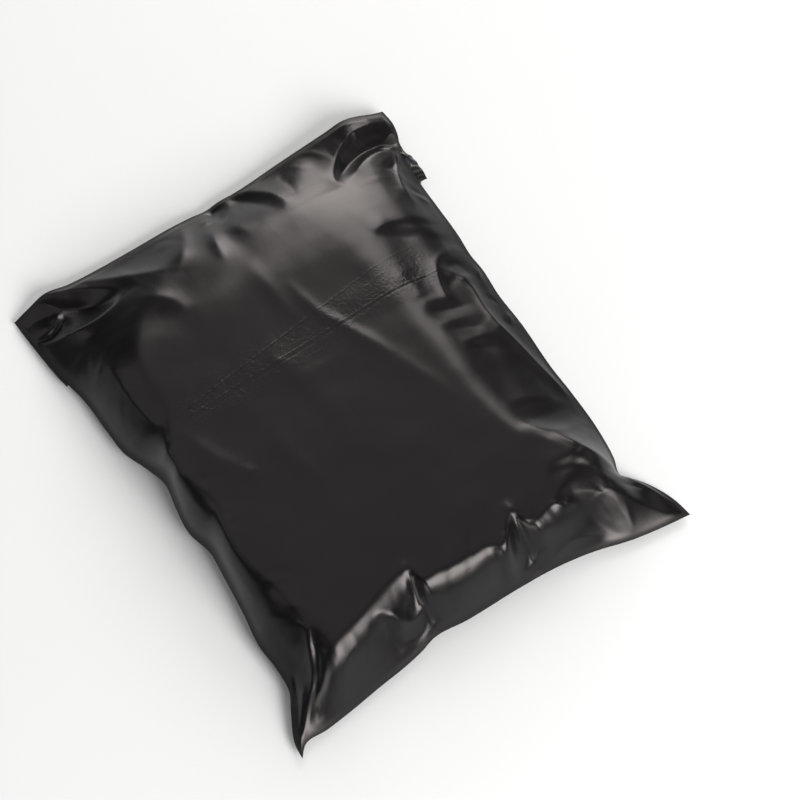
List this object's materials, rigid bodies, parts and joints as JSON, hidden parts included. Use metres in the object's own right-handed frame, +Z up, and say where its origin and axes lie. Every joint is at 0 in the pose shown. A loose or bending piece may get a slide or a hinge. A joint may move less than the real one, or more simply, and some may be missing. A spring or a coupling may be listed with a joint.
{
  "type": "poly mailer bag",
  "caption": "Filled and sealed black poly mailer bag, lying flat on its flap side, with welded side seams and puckered corners.",
  "frame": {"origin": "under the middle of the bag's bounding box, on the surface that it lies on", "axes": "+X across the bag, +Y along it from the bottom fold to the mouth, +Z up, away from the flap side"},
  "size_m": [0.25, 0.301, 0.0428],
  "materials": {
    "black_film": "satin gloss polyethylene film, opaque black"
  },
  "bodies": {
    "root": {"mailer_bag": "black_film"}
  },
  "joints": []
}
